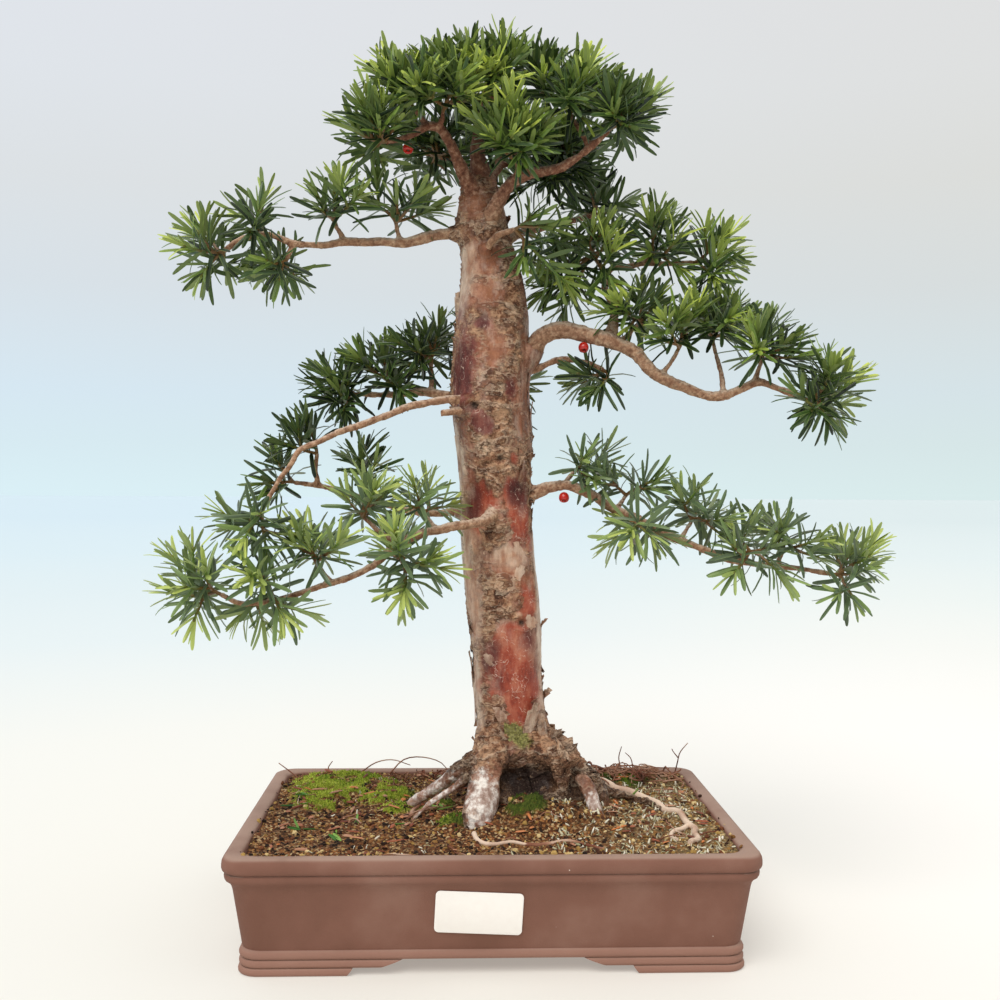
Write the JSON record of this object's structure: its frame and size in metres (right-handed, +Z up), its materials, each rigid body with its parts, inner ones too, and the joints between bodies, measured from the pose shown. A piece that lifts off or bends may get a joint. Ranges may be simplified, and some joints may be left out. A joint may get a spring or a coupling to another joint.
{
  "type": "japanese yew bonsai",
  "caption": "Japanese yew bonsai with a thick straight trunk, spreading surface roots and needle pads, in a low rectangular clay pot.",
  "frame": {"origin": "middle of the whole model's box in X and Y, on the surface that the pot's feet stand on", "axes": "+Z up; +X to the right and -Y towards the viewer, seen from the front, where the sticker is; the pot's long side lies along X"},
  "size_m": [0.4824, 0.2334, 0.5885],
  "materials": {
    "clay": "unglazed red-brown clay, matt",
    "soil": "crumbly brown soil with moss",
    "bark": "flaking bark over smooth pink and red under-bark",
    "needles": "satin green needles",
    "paper": "white satin paper",
    "aril": "glossy red fruit flesh",
    "seed": "dull grey-purple seed",
    "screen": "black plastic mesh"
  },
  "bodies": {
    "root": {"pot": "clay", "drain_screen_1": "screen", "drain_screen_2": "screen", "soil": "soil", "label": "paper", "wood": "bark", "berry_1": "aril", "berry_2": "aril", "berry_3": "aril", "unripe_seed": "seed", "spray_left_top_1": "needles", "spray_left_top_2": "needles", "spray_left_top_3": "needles", "spray_left_top_4": "needles", "spray_left_top_5": "needles", "spray_crown_left_1": "needles", "spray_crown_left_2": "needles", "spray_crown_left_3": "needles", "spray_crown_top_1": "needles", "spray_crown_top_2": "needles", "spray_crown_top_3": "needles", "spray_crown_right_1": "needles", "spray_crown_right_2": "needles", "spray_crown_right_3": "needles", "spray_crown_back_1": "needles", "spray_crown_back_2": "needles", "spray_crown_back_3": "needles", "spray_right_small_1": "needles", "spray_right_up_1": "needles", "spray_right_up_2": "needles", "spray_right_up_3": "needles", "spray_right_behind_1": "needles", "spray_right_main_1": "needles", "spray_right_main_2": "needles", "spray_right_main_3": "needles", "spray_right_main_4": "needles", "spray_right_main_5": "needles", "spray_right_stub_1": "needles", "spray_right_low_1": "needles", "spray_right_low_2": "needles", "spray_right_low_3": "needles", "spray_right_low_4": "needles", "spray_right_low_5": "needles", "spray_right_low_6": "needles", "spray_right_low_7": "needles", "spray_left_mid_1": "needles", "spray_left_back_1": "needles", "spray_left_back_2": "needles", "spray_left_back_3": "needles", "spray_left_back_low_1": "needles", "spray_left_back_low_2": "needles", "spray_left_back_low_3": "needles", "spray_left_low_1": "needles", "spray_left_low_2": "needles", "spray_left_low_3": "needles", "spray_left_low_4": "needles", "spray_left_low_5": "needles", "spray_left_low_6": "needles", "spray_back_mid_1": "needles", "spray_back_mid_2": "needles"}
  },
  "joints": []
}
